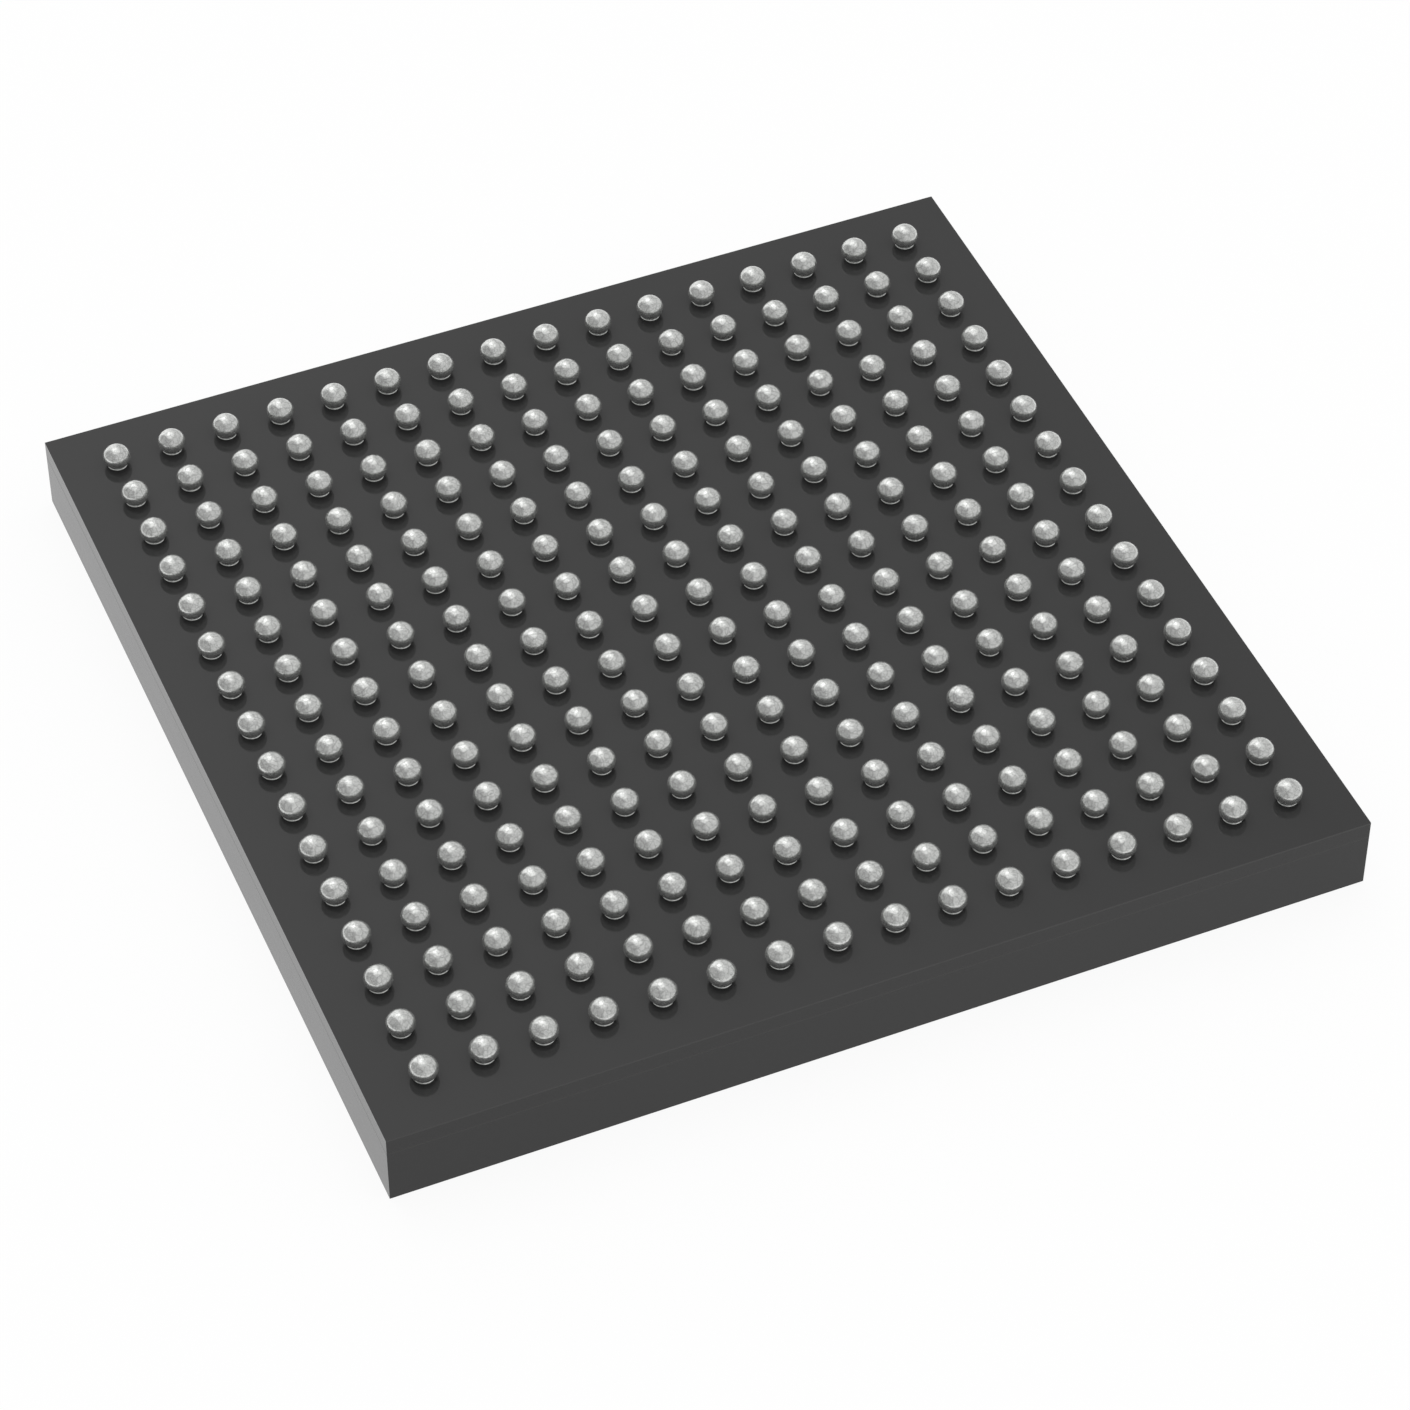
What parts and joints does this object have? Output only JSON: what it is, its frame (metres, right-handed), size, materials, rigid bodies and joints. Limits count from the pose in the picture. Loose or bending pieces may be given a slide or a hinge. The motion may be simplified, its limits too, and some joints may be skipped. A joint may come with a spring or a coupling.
{
  "type": "ball grid array package",
  "caption": "Thin square integrated circuit package with a full square grid of solder balls on one face, over a laminate substrate, an overmoulded die and bond wires.",
  "frame": {"origin": "centre of the mould cap's outer face, on which the package rests", "axes": "+Z from the mould cap towards the ball side; +X and +Y along the square body's sides, so that ball A1 is at +X, +Y and row A runs along +Y"},
  "size_m": [0.017, 0.017, 0.0018],
  "materials": {
    "mould_compound": "matt filled epoxy moulding compound, sawn edges",
    "laminate": "dark glass-fibre laminate, sawn edges",
    "solder_mask": "smooth dark solder mask with a soft gloss",
    "inner_solder_mask": "smooth dark solder mask",
    "copper": "satin copper",
    "plug_resin": "matt hole-plugging resin",
    "attach_film": "matt adhesive film",
    "silicon": "polished silicon",
    "gold": "drawn gold wire",
    "solder": "satin tin-silver-copper solder with a fine mottle"
  },
  "bodies": {
    "root": {"mould_cap": "mould_compound", "laminate_core": "laminate", "ball_side_mask": "solder_mask", "die_side_mask": "inner_solder_mask", "ball_pads": "copper", "ball_side_ground_plane": "copper", "ball_side_power_ring": "copper", "signal_vias": "copper", "ground_vias": "copper", "power_vias": "copper", "via_plugs": "plug_resin", "signal_traces": "copper", "die_paddle": "copper", "die_side_power_ring": "copper", "die_attach_film": "attach_film", "silicon_die": "silicon", "signal_wires": "gold", "ground_wires": "gold", "power_wires": "gold", "solder_balls_row_a": "solder", "solder_balls_row_b": "solder", "solder_balls_row_c": "solder", "solder_balls_row_d": "solder", "solder_balls_row_e": "solder", "solder_balls_row_f": "solder", "solder_balls_row_g": "solder", "solder_balls_row_h": "solder", "solder_balls_row_j": "solder", "solder_balls_row_k": "solder", "solder_balls_row_l": "solder", "solder_balls_row_m": "solder", "solder_balls_row_n": "solder", "solder_balls_row_p": "solder", "solder_balls_row_r": "solder", "solder_balls_row_t": "solder"}
  },
  "joints": []
}
